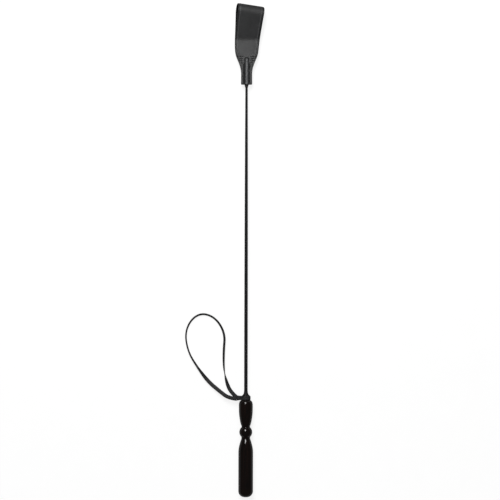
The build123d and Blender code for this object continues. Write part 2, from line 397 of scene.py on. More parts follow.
def dust_and_handling():
    """Broad hazy patches from handling, and sparse specks of dust."""
    sockets = [("Vector", "Vector", None), ("Patches", "Float", 60.0)]
    tree, given, made = effect("dust_and_handling", sockets, ["Haze", "Specks"])
    patches = noise(tree, given["Vector"], given["Patches"], 4.0, 0.6)
    tree.links.new(between(tree, patches, 0.35, 0.7), made["Haze"])
    dots = add(tree, "TexVoronoi", {"Vector": given["Vector"], "Scale": 900.0, "Randomness": 1.0})
    near = maths(tree, "LESS_THAN", dots.outputs["Distance"], 0.07)
    rare = maths(tree, "GREATER_THAN", add(tree, "SeparateXYZ", {0: dots.outputs["Color"]}).outputs[0], 0.93)
    tree.links.new(maths(tree, "MULTIPLY", near, rare), made["Specks"])
    return tree


EFFECTS = {
    "grain": leather_grain(),
    "thread": twisted_thread(),
    "wear": edge_wear(),
    "dust": dust_and_handling(),
}


def placed(tree, effect_name, inputs):
    """Outputs of an effect's group node."""
    return add(tree, "Group", inputs, node_tree=EFFECTS[effect_name]).outputs


def mask(tree, name):
    """Point attribute of the mesh."""
    return add(tree, "Attribute", attribute_type="GEOMETRY", attribute_name=name).outputs["Fac"]


def finish(name):
    """New material with a Principled shader; gives the material, its tree and the shader."""
    material = bpy.data.materials.new(name)
    material.use_nodes = True
    return material, material.node_tree, material.node_tree.nodes["Principled BSDF"]


def bump(tree, height, depth, strength=1.0):
    """Normal of a surface whose height from 0 to 1 is depth metres deep."""
    return add(tree, "Bump", {"Height": height, "Distance": depth, "Strength": strength}).outputs["Normal"]


def shade(colour, factor):
    """Colour times a factor, with full alpha."""
    return (*(min(1.0, channel * factor) for channel in colour), 1.0)


def lacquer(colour):
    """Deep gloss lacquer over dark wood: faint long grain, hazy where it is held."""
    material, tree, shader = finish("black_lacquer")
    place = add(tree, "TexCoord").outputs["Object"]
    grain = noise(tree, stretched(tree, place, (900.0, 40.0, 900.0)), 1.0, 4.0, 0.6)
    marks = placed(tree, "dust", {"Vector": place, "Patches": 70.0})
    haze = between(tree, marks["Haze"], 0.0, 1.0, 0.07, 0.13)
    feed(tree, shader, {
        "Base Color": mixed(tree, between(tree, grain, 0.35, 0.7), shade(colour, 0.6), WARM_WOOD),
        "Roughness": maths(tree, "MULTIPLY_ADD", marks["Specks"], 0.4, haze),
        "Specular IOR Level": 0.5,
        "Normal": bump(tree, noise(tree, place, 180.0, 2.0), 0.02 * MM, 0.6),
    })
    return material


def braid_fibre(colour):
    """Satin braid: each strand painted lighter on its crown and darker between strands, a painted highlight
    and painted shade, with fibres that run along it.
    """
    material, tree, shader = finish("braided_cover")
    uv = add(tree, "TexCoord").outputs["UV"]
    strand = placed(tree, "thread", {"Vector": uv, "Plies": 5200.0, "Slant": 1.0})
    # Painted highlight on each strand's crown, painted shade between strands.
    lit = maths(tree, "MULTIPLY", mask(tree, "crown"), between(tree, strand["Fibres"], 0.3, 0.7, 0.6, 1.0))
    marks = placed(tree, "dust", {"Vector": uv, "Patches": 55.0})
    feed(tree, shader, {
        "Base Color": mixed(tree, lit, shade(colour, 0.65), shade(colour, 1.2)),
        "Roughness": between(tree, marks["Haze"], 0.0, 1.0, 0.58, 0.70),
        "Specular IOR Level": 0.12,
        "Normal": bump(tree, strand["Height"], 0.03 * MM),
    })
    return material


def wound_thread(name, colour, plies, roughness):
    """Waxed thread with its own twist, painted lighter on the crown of each turn and darker between turns: a
    painted highlight and painted shade.
    """
    material, tree, shader = finish(name)
    uv = add(tree, "TexCoord").outputs["UV"]
    strand = placed(tree, "thread", {"Vector": uv, "Plies": plies, "Slant": 0.7})
    # Painted highlight on the crowns, painted shade in the grooves.
    share = between(tree, strand["Height"], 0.2, 1.1)
    feed(tree, shader, {
        "Base Color": mixed(tree, share, shade(colour, 0.5), shade(colour, 1.7)),
        "Roughness": between(tree, strand["Fibres"], 0.3, 0.7, roughness - 0.08, roughness + 0.08),
        "Specular IOR Level": 0.25,
        "Normal": bump(tree, strand["Height"], 0.05 * MM),
    })
    return material


def leather_finish(name, colour, cells, depth, roughness, gloss, painted_sheen=0.0):
    """Dyed leather: pebbled grain; pale rims, rubbed on the lace and a painted highlight on the keeper's
    tunnel crown and crease lips; an optional painted sheen down the middle; a darker burnished edge,
    with painted shade in the creases, edge bands and stitch troughs.
    """
    material, tree, shader = finish(name)
    uv = add(tree, "TexCoord").outputs["UV"]
    cut, middle = mask(tree, "cut"), mask(tree, "middle")
    grain = placed(tree, "grain", {"Vector": uv, "Cells": cells, "Crease": 0.55})
    pale_rim_and_highlight = placed(tree, "wear", {"Vector": uv, "Rim": mask(tree, "rim"), "Amount": 1.35})["Worn"]
    marks = placed(tree, "dust", {"Vector": uv, "Patches": 45.0})
    tone = between(tree, noise(tree, uv, 120.0, 4.0), 0.3, 0.7)
    dye_and_painted_light = mixed(tree, tone, shade(colour, 0.82), shade(colour, 1.15))
    # Pale rim layer: rubbed edges on the lace, and on the keeper a painted highlight on the tunnel crown and
    # crease lips.
    layers = [(maths(tree, "MULTIPLY", grain["Pores"], 0.5), shade(colour, 0.45)), (pale_rim_and_highlight, shade(colour, 8.0))]
    # Painted sheen: a pale line down the middle of the lace, as if lit there.
    if painted_sheen:
        layers.append((maths(tree, "MULTIPLY", middle, painted_sheen), shade(colour, 2.6)))
    # Dust specks, then the darker leather edge with painted shade in creases, edge bands and stitch troughs.
    layers += [(maths(tree, "MULTIPLY", marks["Specks"], 0.5), PALE_DUST), (cut, shade(colour, 0.3))]
    for share, layer in layers:
        dye_and_painted_light = mixed(tree, share, dye_and_painted_light, layer)
    dull = between(tree, marks["Haze"], 0.0, 1.0, roughness - 0.06, roughness + 0.06)
    dull = maths(tree, "MULTIPLY_ADD", middle, 0.20, dull)
    feed(tree, shader, {
        "Base Color": dye_and_painted_light,
        "Roughness": maths(tree, "MULTIPLY_ADD", cut, -0.16, dull),
        "Specular IOR Level": gloss,
        "Normal": bump(tree, grain["Height"], depth),
    })
    return material


def flesh_side(colour):
    """Matt inner side of the leather with loose short fibres; its nearly black colour is painted shade for
    the gap between the keeper's layers.
    """
    material, tree, shader = finish("flesh_side")
    fibres = noise(tree, add(tree, "TexCoord").outputs["UV"], 2600.0, 5.0, 0.7)
    feed(tree, shader, {
        "Base Color": mixed(tree, fibres, shade(colour, 0.06), shade(colour, 0.22)),
        "Roughness": between(tree, fibres, 0.3, 0.7, 0.8, 0.95),
        "Specular IOR Level": 0.05,
        "Normal": bump(tree, fibres, 0.08 * MM),
    })
    return material


def glass_rod():
    """Pale resin rod with long glass fibres."""
    material, tree, shader = finish("fibreglass_rod")
    place = add(tree, "TexCoord").outputs["Object"]
    fibres = noise(tree, stretched(tree, place, (4000.0, 60.0, 4000.0)), 1.0)
    feed(tree, shader, {
        "Base Color": mixed(tree, fibres, (0.42, 0.40, 0.31, 1.0), (0.70, 0.68, 0.60, 1.0)),
        "Roughness": between(tree, fibres, 0.3, 0.7, 0.3, 0.45),
    })
    return material


# ---- settings ----
class CropHandleSettings(bpy.types.PropertyGroup):
    """Sizes and colour of the turned handle."""

    grip_radius: FloatProperty(name="Grip radius", description="Radius of the straight grip",
                               default=HANDLE_HIGH.x, unit="LENGTH")
    butt_round: FloatProperty(name="Butt rounding", description="Radius of the rounded butt edge",
                              default=8.0 * MM, unit="LENGTH")
    bead_radius: FloatProperty(name="Bead radius", description="Largest radius of the bead",
                               default=8.6 * MM, unit="LENGTH")
    belly_radius: FloatProperty(name="Baluster radius", description="Largest radius of the baluster",
                                default=9.3 * MM, unit="LENGTH")
    neck_radius: FloatProperty(name="Neck radius", description="Radius of the neck under the strap",
                               default=5.3 * MM, unit="LENGTH")
    lacquer: FloatVectorProperty(name="Lacquer", description="Colour of the lacquer", subtype="COLOR",
                                 default=(0.0040, 0.0034, 0.0034), min=0, max=1)


class CropShaftSettings(bpy.types.PropertyGroup):
    """Braid and windings of the shaft."""

    strands: IntProperty(name="Strands", description="Strands of the braid in each direction; an even number",
                         default=8, min=4, max=16)
    crossing: FloatProperty(name="Crossing pitch", description="Distance along the shaft between crossings",
                            default=2.3 * MM, unit="LENGTH")
    relief: FloatProperty(name="Relief", description="Depth of the braid between its strands",
                          default=0.13 * MM, unit="LENGTH")
    thread_pitch: FloatProperty(name="Thread pitch", description="Distance between turns of the windings",
                                default=0.55 * MM, unit="LENGTH")
    braid: FloatVectorProperty(name="Braid", description="Colour of the braided cover", subtype="COLOR",
                               default=(0.0125, 0.0125, 0.013), min=0, max=1)
    winding: FloatVectorProperty(name="Winding", description="Colour of the wound thread", subtype="COLOR",
                                 default=(0.008, 0.0075, 0.0075), min=0, max=1)


class CropKeeperSettings(bpy.types.PropertyGroup):
    """Folded leather keeper at the tip."""

    leather: FloatProperty(name="Leather", description="Thickness of the leather",
                           default=1.5 * MM, unit="LENGTH")
    lean: FloatProperty(name="Lean", description="Mean lean of the free loop towards +X",
                        default=math.radians(5.6), unit="ROTATION")
    skew: FloatProperty(name="Skew", description="How much more the front layer leans than the mean",
                        default=math.radians(2.0), unit="ROTATION")
    end_slope: FloatProperty(name="End slope", description="Slope of the fold down to the right",
                             default=math.radians(8.7), unit="ROTATION")
    crease_inset: FloatProperty(name="Crease inset", description="Distance of the creased line from the edge",
                                default=2.5 * MM, unit="LENGTH")
    dye: FloatVectorProperty(name="Dye", description="Colour of the leather", subtype="COLOR",
                             default=(0.0180, 0.0184, 0.0190), min=0, max=1)
    thread: FloatVectorProperty(name="Thread", description="Colour of the sewing thread", subtype="COLOR",
                                default=(0.016, 0.016, 0.016), min=0, max=1)


class CropStrapSettings(bpy.types.PropertyGroup):
    """Flat lace of the wrist strap."""

    width: FloatProperty(name="Width", description="Width of the free loop's lace",
                         default=TURN_HIGH.y - TURN_LOW.y + 0.6 * MM, unit="LENGTH")
    turn_width: FloatProperty(name="Turn width", description="Width of the lace round the neck",
                              default=TURN_HIGH.y - TURN_LOW.y + 0.4 * MM, unit="LENGTH")
    thickness: FloatProperty(name="Thickness", description="Thickness of the lace", default=1.0 * MM,
                             unit="LENGTH")
    dye: FloatVectorProperty(name="Dye", description="Colour of the lace", subtype="COLOR",
                             default=(0.017, 0.017, 0.0175), min=0, max=1)


class CropStageSettings(bpy.types.PropertyGroup):
    """Floor, lamps and camera."""

    view_width: FloatProperty(name="View width", description="Width of the view at the crop's axis",
                              default=0.668, unit="LENGTH")
    key_power: FloatProperty(name="Key power", description="Power of the soft key lamp", default=34.0,
                             unit="POWER")
    fill_power: FloatProperty(name="Fill power", description="Power of the overhead fill", default=28.0,
                              unit="POWER")
    world: FloatVectorProperty(name="World", description="Colour of the surrounding light", subtype="COLOR",
                               default=(0.06, 0.06, 0.06), min=0, max=1)


# ---- shapes ----
# Stations along the handle and radii there, in millimetres. The outline starts and ends just
# off the axis, so that the fans that close it have an edge.
WAIST_START, WAIST_END = 26.0, 44.8
GROOVE_END = 46.4
GROOVE_RADIUS = 5.8
BALUSTER_START, SHOULDER_END = 60.83, 95.73
BALUSTER_FOOT = 5.65
OFF_AXIS = 0.2
SOCKET_GLUE = 0.02
RIM_CHAMFER = 0.3


def handle_outline(sizes):
    """Half outline (radius, station) of the turning and its socket: straight runs, a quarter
    circle at the butt, eased runs at waist and baluster, and an arc for the bead."""
    grip, butt_round = sizes.grip_radius / MM, sizes.butt_round / MM
    bead, belly, neck = sizes.bead_radius / MM, sizes.belly_radius / MM, sizes.neck_radius / MM
    low, high, socket = HANDLE_LOW.y / MM, HANDLE_HIGH.y / MM, SOCKET_FLOOR / MM
    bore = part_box("shaft_core")[1].x / MM + SOCKET_GLUE
    quarter = np.linspace(-math.pi / 2, 0, 24)
    butt = np.stack([grip - butt_round * (1 - np.cos(quarter)), low + butt_round * (1 + np.sin(quarter))], 1)
    waist = np.linspace(WAIST_START, WAIST_END, 80)
    waist_knots = [(WAIST_START, grip, 0), (33.5, 8.93, -0.22), (39.5, 7.36, -0.31), (43.6, 5.9, -0.40),
                   (WAIST_END, GROOVE_RADIUS, 0)]
    lower = math.acos(GROOVE_RADIUS / bead)
    turn = np.linspace(-lower, math.acos(BALUSTER_FOOT / bead), 60)
    middle = GROOVE_END + bead * math.sin(lower)
    ball = np.stack([bead * np.cos(turn), middle + bead * np.sin(turn)], 1)
    baluster = np.linspace(BALUSTER_START, SHOULDER_END, 260)
    baluster_knots = [(BALUSTER_START, BALUSTER_FOOT, 0.45), (71.33, 8.31, 0.165), (85.83, belly, 0),
                      (88.8, belly, 0), (91.4, belly - 0.32, -0.31), (SHOULDER_END, neck, -2.3)]
    return MM * np.vstack([
        [(OFF_AXIS, low)], butt, np.stack([eased(waist, waist_knots), waist], 1), ball,
        np.stack([eased(baluster, baluster_knots), baluster], 1),
        [(neck, high - RIM_CHAMFER), (neck - RIM_CHAMFER, high), (bore, high), (bore, socket),
         (OFF_AXIS, socket)],
    ])


def shaft_radius(station):
    """Radius of the braided shaft: full at the root, falling with the 2.4th power to the tip."""
    share = np.clip((station - COVER_LOW.y) / (COVER_HIGH.y - COVER_LOW.y), 0, 1)
    return SHAFT_TIP + (SHAFT_ROOT - SHAFT_TIP) * (1 - share**TAPER_POWER)


def braid_grid(sizes, rows_per_crossing=8, columns_per_strand=6):
    """Plain braid of two sets of strands round the tapered shaft.

    With p = strands * angle / 2pi + station / crossing and q the same with a minus, strand
    set one has a crown where p is half way between whole numbers, set two where q is. Each
    crown is a half ellipse, lifted or lowered by a quarter of the relief as the parities of
    the two strands say, and the higher one shows.
    """
    count = int(round((COVER_HIGH.y - COVER_LOW.y) / sizes.crossing * rows_per_crossing))
    station = np.linspace(COVER_LOW.y, COVER_HIGH.y, count)[:, None]
    angle = np.linspace(0, 2 * math.pi, sizes.strands * columns_per_strand + 1)[None, :]
    turns = sizes.strands * angle / (2 * math.pi)
    rise = (station - COVER_LOW.y) / sizes.crossing
    p, q = turns + rise, turns - rise

    def crown(own, other):
        parity = np.where(np.floor(own + 1e-6) % 2 == 0, 1.0, -1.0)
        arch = np.sqrt(np.maximum(1 - (2 * (own % 1) - 1) ** 2, 0))
        return arch * (0.75 + 0.25 * parity * np.sin(math.pi * other))

    over, under = crown(p, q), crown(q, p + 1)
    height = np.maximum(over, under)
    radius = shaft_radius(station) - sizes.relief * (1 - height)
    around = COVER_HIGH.x * angle
    uv = np.stack([station + 0 * angle, np.where(over > under, around, -around)], axis=2)
    return turned(radius, station, angle)[:, :-1], uv, height[:, :-1]


def wound(name, knots, bore, pitch, relief):
    """Thread wound on a turned outline: the outline's radius less relief * (1 - |cos|^0.7) of
    half a turn per pitch, where the phase also falls by one pitch for each time round."""
    rows_per_turn = 9
    start, end = knots[0][0], knots[-1][0]
    station = np.linspace(start, end, int((end - start) / pitch * rows_per_turn))[:, None]
    angle = np.linspace(0, 2 * math.pi, 65)[None, :]
    phase = math.pi * ((station - start) / pitch - angle / (2 * math.pi))
    radius = eased(station, knots) - relief * (1 - np.abs(np.cos(phase)) ** 0.7)
    inner = np.full(angle.shape, bore)
    radius = np.vstack([inner, radius, inner])
    station = np.vstack([station[:1], station, station[-1:]])
    thread_stretch = 2.5
    along, across = np.broadcast_arrays(angle * bore * thread_stretch, station)
    uv = np.stack([along, across], axis=2)
    points = turned(radius, station, angle)[:, :-1]
    return build(name, points, np.concatenate([uv, uv[:1]]), ring=True)


# Half width of the keeper's strip at distances from its mouth, in millimetres.
KEEPER_WIDTH = [
    (0, 7.5), (9, 7.4), (15.5, 7.4), (20, 7.9), (24, 8.8), (28, 10.2), (33, 12.2), (38, 14.2),
    (41.5, 15.1), (47, 15.8), (56, 16.4), (70, 17.0), (92, 17.5), (112, 17.5),
]
MOUTH_CORNER = 1.2 * MM


def keeper_half_width(station):
    """Half width of the strip at each distance from its mouth: slim along the shaft, flaring
    to a shoulder and then widening slowly; its two corners at the mouth are rounded."""
    from_end = np.clip(1 - station / MOUTH_CORNER, 0, 1)
    corner = MOUTH_CORNER * (1 - np.sqrt(1 - 0.96 * from_end**2))
    return through(station, np.array(KEEPER_WIDTH) * MM) - corner


def keeper_line(sizes, step):
    """Middle line (station, height) of the folded strip, front mouth to back mouth.

    Both layers lie flat to where they part; each then bends up and rises evenly to a half
    circle that is carried on a little past its top, and joins them at the fold.
    """
    top = FOLD_HIGH.z - sizes.leather / 2 - 0.13 * MM
    flat = sizes.leather / 2 + 0.01 * MM
    parting = HINGE + 14.5 * MM
    bend, lifted = parting + 5.5 * MM, flat + 0.6 * MM
    fold = FOLD_HIGH.y - 2.6 * MM - FOLD_HIGH.z
    over = math.radians(12)
    turn = np.linspace(math.pi / 2 + over, 0, 30)
    half_fold = np.stack([fold + top * np.cos(turn), top * np.sin(turn)], axis=1)
    end, height = half_fold[0]
    climb = (height - lifted) / (end - bend)
    station = np.linspace(parting, end, 80)
    rise = eased(station, [(parting, flat, 0), (bend, lifted, climb), (end, height, climb)])
    front = np.vstack([[(LEAF_LOW.y, flat)], np.stack([station, rise], axis=1), half_fold[1:]])
    line = np.vstack([front, (front * (1, -1))[-2::-1]])
    return spaced(line, step, softenings=6)


def stitch_places():
    """Middle (x, y) and direction of every stitch on a face of the keeper's stitched part: a
    row along each side of the tunnel, and four short cross rows on the flare."""
    tunnel = LEAF_HIGH.z
    rows = [
        (side * (tunnel + 0.72 * MM), LEAF_LOW.y + 3.0 * MM * (i + 0.75), math.pi / 2)
        for side in (-1, 1) for i in range(9)
    ]
    rows += [
        (side * (tunnel + 3.02 * MM + 3.0 * MM * i), LEAF_LOW.y + 28.5 * MM + 2.7 * MM * row, 0.0)
        for side in (-1, 1) for row in range(4) for i in range(1 + (row + 1) // 2)
    ]
    return np.array(rows)


def stitch_pull(x, y):
    """How far the stitches pull the leather in at each point: 1 under a stitch, 0 away from
    all, and a product of two humps, along and across a stitch, between them."""
    pulled = np.zeros_like(x)
    for px, py, angle in stitch_places():
        c, s = math.cos(angle), math.sin(angle)
        lengthwise, sideways = (x - px) * c + (y - py) * s, (y - py) * c - (x - px) * s
        pulled += hump(lengthwise, 1.5 * MM, 4) * hump(sideways, 0.55 * MM)
    return np.minimum(pulled, 1)


def tunnel_rise(x, y, flat, blunt):
    """Height that the tunnel adds to a face at height flat: a soft maximum of that height and
    a circle about the shaft, which ends as a quarter sphere and is lower at the mouth."""
    past_end = np.maximum(y - COVER_HIGH.y, 0) / LEAF_HIGH.z
    bulge = LEAF_HIGH.z * np.sqrt(np.clip(1 - past_end**2, 0, 1))
    arch = np.sqrt(np.maximum(bulge**2 - x**2, 0)) * (0.4 + 0.6 * blunt)
    softness = 0.5 * MM
    return (arch - flat + np.sqrt((flat - arch) ** 2 + softness**2)) / 2


def keeper_piece(sizes):
    """The keeper as one continuous strip, and which of its faces are on its inner side.

    Across the strip lie x and the layer's normal. The outer face adds the tunnel, the creased
    lines, a trough at each stitch and a low swelling beside the tunnel; the inner face is
    hollowed for the shaft. The free loop leans by a shift in X that starts as a soft ramp
    past the hinge, and its end slopes by a shift in Y that grows with X.
    """
    line = keeper_line(sizes, 0.46 * MM)
    along = travelled(line)
    share, full = rim(72, sizes.leather / 2, 15 * MM)
    station = line[:, 0] - LEAF_LOW.y
    half = keeper_half_width(station)
    x = half[:, None] * share[None, :]
    y = np.broadcast_to(line[:, :1], x.shape)
    mouth_round = 0.7 * MM
    from_mouth = np.clip(np.minimum(along, along[-1] - along) / mouth_round, 0.08, 1)
    blunt = np.sqrt(1 - (1 - from_mouth) ** 2)[:, None]
    half_thickness = sizes.leather / 2 * full[None, :] * blunt

    crease_depth, bevel_depth, lip_height = 0.20 * MM, 0.22 * MM, 0.12 * MM
    swell_height, stitch_depth = 0.45 * MM, 0.34 * MM
    edge_distance = half[:, None] - np.abs(x)
    crease = hump(edge_distance - sizes.crease_inset, 0.42 * MM)
    lip = hump(edge_distance - sizes.crease_inset - 0.9 * MM, 0.6 * MM)
    bevel = smoothstep(edge_distance, 2.3 * MM, 0.0)
    past_mouth = smoothstep(station, 30 * MM, 38 * MM)[:, None]
    stitched = (np.abs(line[:, 1]) < sizes.leather)[:, None]
    pulled = stitch_pull(x, y) * stitched
    swell = hump(x - 6.4 * MM, 1.3 * MM) * hump(y - LEAF_LOW.y - 31 * MM, 7 * MM)
    in_front = (line[:, 1] >= 0)[:, None]
    outer = half_thickness + past_mouth * (lip_height * lip - crease_depth * crease - bevel_depth * bevel)
    outer = outer + swell_height * swell * stitched * in_front - stitch_depth * pulled
    raised = tunnel_rise(x, y, sizes.leather / 2 + outer, blunt)
    outer = outer + np.where(stitched & (full[None, :] > 0.98), raised, 0)
    in_tunnel = y < COVER_HIGH.y
    pocket = shaft_radius(y) + 0.25 * MM
    hollow = np.sqrt(np.maximum(pocket**2 - x**2, 0)) * in_tunnel
    inner = np.where(stitched, np.maximum(hollow - 0.01 * MM, 0), 0) - half_thickness

    ramp_start, ramp_softness = station - 53 * MM, 8 * MM
    ramp = (np.sqrt(ramp_start**2 + ramp_softness**2) + ramp_start) / 2
    side = np.clip(line[:, 1] / (FOLD_HIGH.z - sizes.leather / 2), -1, 1)
    shift = np.tan(sizes.lean + sizes.skew * side) * ramp
    slope = math.tan(sizes.end_slope) * smoothstep(line[:, 0], HINGE + 10 * MM, FOLD_HIGH.y - FOLD_HIGH.z)
    direction = np.gradient(line, along, axis=0)
    normal = np.stack([-direction[:, 1], direction[:, 0]], axis=1)
    faces = [
        np.stack([
            x + shift[:, None],
            line[:, :1] + normal[:, :1] * offset - slope[:, None] * x,
            line[:, 1:] + normal[:, 1:] * offset,
        ], axis=2)
        for offset in (outer, inner)
    ]

    # Painted highlight: the tunnel's crown and the lip beside each crease are painted pale.
    crown = hump(x - 0.4 * MM, 1.7 * MM, 4) * stitched * in_tunnel
    painted_highlight = np.clip(0.45 * lip * past_mouth + crown, 0, 1)
    # Darker leather edge, and painted shade in the creased lines and in a band along each edge.
    crease_and_band_shade = 0.75 * crease + 0.6 * smoothstep(edge_distance, 2.4 * MM, 1.4 * MM)
    dark = np.clip(1 - smoothstep(full, 0.35, 0.9) + crease_and_band_shade * past_mouth, 0, 1)
    # Painted shade in the troughs where the stitches pull the leather in.
    dark = np.maximum(dark, 0.8 * pulled)
    folded = 0 * x + smoothstep(line[:, :1], FOLD_HIGH.y - 17 * MM, FOLD_HIGH.y - 12.5 * MM)
    nothing = np.zeros_like(x)
    masks = {"rim": (painted_highlight, nothing), "cut": (dark, nothing), "middle": (folded, nothing)}
    piece = slab("keeper", faces[0], faces[1], along, x + 20 * MM, masks)
    columns = 2 * len(share)
    face = np.arange(len(piece.data.polygons))
    column = face % columns
    on_sides = face < columns * (len(line) - 1)
    return piece, on_sides & (column >= len(share)) & (column < columns - 1)


def stitch_piece(name, places, lift, length, radius):
    """Rows of thread bars on both faces, each a small arch whose ends dive into the leather.

    Along a bar t runs from -1 to 1: its middle line is at lift + radius * (0.5 - 1.9 t^6),
    its radius is radius * sqrt(1 - t^8), and three plies twist round it.
    """
    t = np.linspace(-0.995, 0.995, 11)[:, None]
    turn = np.linspace(0, 2 * math.pi, 9)[None, :]
    r = radius * np.sqrt(1 - t**8) * (1 + 0.12 * np.cos(3 * turn - 7 * t))
    along, side = length / 2 * t, r * np.cos(turn)
    up = r * np.sin(turn) + radius * (0.5 - 1.9 * t**6)
    uv = np.stack(np.broadcast_arrays(along + length, radius * turn), axis=2)
    parts = []
    for face in (1, -1):
        for x, y, angle in places:
            c, s = math.cos(angle), math.sin(angle)
            bar = np.stack([x + along * c - side * s, y + along * s + side * c, face * (lift + up)], axis=2)
            parts.append(build(f"{name}_{len(parts)}", bar[:, :-1], uv, ends="poles"))
    return joined(name, parts)


def joined(name, parts):
    """One object from several, in the first one."""
    with bpy.context.temp_override(active_object=parts[0], selected_editable_objects=parts):
        bpy.ops.object.join()
    parts[0].name = name
    parts[0].data.name = name
    return parts[0]


def nurbs_line(points, step):
    """Line of the quadratic NURBS with these control points, evenly divided."""
    curve = bpy.data.curves.new("route", "CURVE")
    curve.dimensions = "3D"
    curve.resolution_u = 16
    spline = curve.splines.new("NURBS")
    spline.points.add(len(points) - 1)
    for point, place in zip(spline.points, points):
        point.co = (*place, 1.0)
    spline.order_u = 3
    spline.use_endpoint_u = True
    route = bpy.data.objects.new("route", curve)
    mesh = bpy.data.meshes.new_from_object(route)
    line = np.array([vertex.co for vertex in mesh.vertices])
    bpy.data.objects.remove(route)
    bpy.data.curves.remove(curve)
    bpy.data.meshes.remove(mesh)
    return spaced(line, step)


def lace_slab(name, line, wide, width, thickness):
    """Flat lace along a line, with its width along wide, a unit vector at each point. Its
    faces are crowned by the square of the way across and creased near both edges."""
    share, full = rim(14, thickness / 2, width / 2)
    crease_place, crease_width, crease_depth, crown = 0.70, 0.07, 0.07 * MM, 0.16
    crease = hump(np.abs(share) - crease_place, crease_width)
    half = thickness / 2 * full * (1 - crown * share**2) - crease_depth * crease
    normal = np.cross(unit(np.gradient(line, axis=0)), wide)
    flat = line[:, None, :] + wide[:, None, :] * (share * width / 2)[None, :, None]
    faces = [flat + normal[:, None, :] * (sign * half)[None, :, None] for sign in (1, -1)]
    grid = np.zeros((len(line), len(share)))
    shares = {
        "rim": 0.75 * hump(1 - np.abs(share), 0.16),
        # Darker leather edge, and painted shade in the creases.
        "cut": np.clip(1 - smoothstep(full, 0.3, 0.9) + 0.7 * crease, 0, 1),
        # Middle of the lace: rougher, and pale there with a painted sheen.
        "middle": hump(share, 0.42),
    }
    masks = {label: (grid + values, grid + values) for label, values in shares.items()}
    return slab(name, faces[0], faces[1], travelled(line), grid + (share + 1) * width / 2, masks)


def lace_loop(sizes):
    """Free loop of the lace, tilted about its own line from flat at the neck to on edge."""
    route = [(x * MM + PIVOT[0], y * MM + PIVOT[1], z * MM) for x, y, z in LACE_ROUTE]
    line = nurbs_line(route, 1.0 * MM)
    tangent = unit(np.gradient(line, axis=0))
    level = unit(np.cross([0, 0, 1], tangent))
    upright = np.cross(tangent, level)
    tilt = np.radians(through(np.linspace(0, 1, len(line)), LACE_TILT))[:, None]
    wide = np.cos(tilt) * level + np.sin(tilt) * upright
    return lace_slab("wrist_loop_lace", line, wide, sizes.width, sizes.thickness), line


def lace_turn(sizes, neck_radius):
    """Turn of the lace round the neck: from its end above, tangent to the neck, round it and
    back to its end below. Its width lies along Y, and its ends part by the fifth power of
    the way from its middle."""
    radius = neck_radius + 0.05 * MM + sizes.thickness / 2
    tip, meet, height = TURN_LOW.x + 0.1 * MM, TURN_LOW.x + 4.2 * MM, 0.52 * MM
    leave = math.pi - math.acos(min(1, radius / -meet)) * 0.93
    angle = np.linspace(leave, -leave, 60)
    circle = np.stack([radius * np.cos(angle), radius * np.sin(angle)], axis=1)
    ends = [(tip, height), (meet, height)]
    path = spaced(np.vstack([ends, circle, [(x, -z) for x, z in ends[::-1]]]), 0.35 * MM, softenings=8)
    parting = 1.2 * MM * np.linspace(-1, 1, len(path)) ** 5
    line = np.stack([path[:, 0], PIVOT[1] + parting, path[:, 1]], axis=1)
    wide = np.broadcast_to([0.0, 1.0, 0.0], line.shape)
    return lace_slab("strap_turn_lace", line, wide, sizes.turn_width, sizes.thickness)


# ---- operators ----
class CropOperator:
    """What the operators share."""

    bl_options = {"REGISTER", "UNDO"}


class OBJECT_OT_crop_handle(CropOperator, bpy.types.Operator):
    """Turn and lacquer the handle"""

    bl_idname = "object.crop_handle"
    bl_label = "Handle"

    def execute(self, context):
        sizes = context.scene.crop_handle
        outline = spaced(handle_outline(sizes), 0.28 * MM, softenings=2)
        piece = revolve("handle_turning", outline, 96)
        dress(piece, "crop", "handle_lacquer", lacquer(sizes.lacquer), "handle")
        return {"FINISHED"}


class OBJECT_OT_crop_shaft(CropOperator, bpy.types.Operator):
    """Braid the shaft's cover and give the rod and its binding their finish"""

    bl_idname = "object.crop_shaft"
    bl_label = "Shaft"

    def execute(self, context):
        sizes = context.scene.crop_shaft
        points, uv, crown = braid_grid(sizes)
        piece = build("shaft_braid", points, uv, ends="poles", masks={"crown": crown})
        dress(piece, "crop", "braid", braid_fibre(sizes.braid), "shaft_cover")
        coat(frame["nodes"]["shaft_core"], glass_rod())
        coat(frame["nodes"]["tip_binding"], wound_thread("binding_thread", sizes.winding, 1800.0, 0.5))
        return {"FINISHED"}


class OBJECT_OT_crop_windings(CropOperator, bpy.types.Operator):
    """Wind the collar and the cone at the keeper's mouth"""

    bl_idname = "object.crop_windings"
    bl_label = "Windings"

    def execute(self, context):
        sizes = context.scene.crop_shaft
        waxed = wound_thread("waxed_winding", sizes.winding, 1800.0, 0.42)
        low, high, root = COLLAR_LOW.y, COLLAR_HIGH.y, COVER_HIGH.x
        knots = [(low, COLLAR_HIGH.x, -0.5), (low + 0.3 * (high - low), root + 1.5 * MM, -0.62),
                 (high, root + 0.3 * MM, -0.05)]
        collar = wound("collar_winding", knots, root - 0.1 * MM, sizes.thread_pitch, 0.16 * MM)
        dress(collar, "crop", "winding", waxed, "collar_whipping")
        low, high = MOUTH_LOW.y, MOUTH_HIGH.y
        slim = float(shaft_radius(low))
        knots = [(low, slim + 0.3 * MM, 0.12), ((low + high) / 2, slim + 0.75 * MM, 0.4),
                 (high, MOUTH_HIGH.x, 1.4)]
        cone = wound("mouth_winding", knots, slim - 0.1 * MM, sizes.thread_pitch, 0.12 * MM)
        dress(cone, "crop", "winding", waxed, "mouth_whipping")
        return {"FINISHED"}


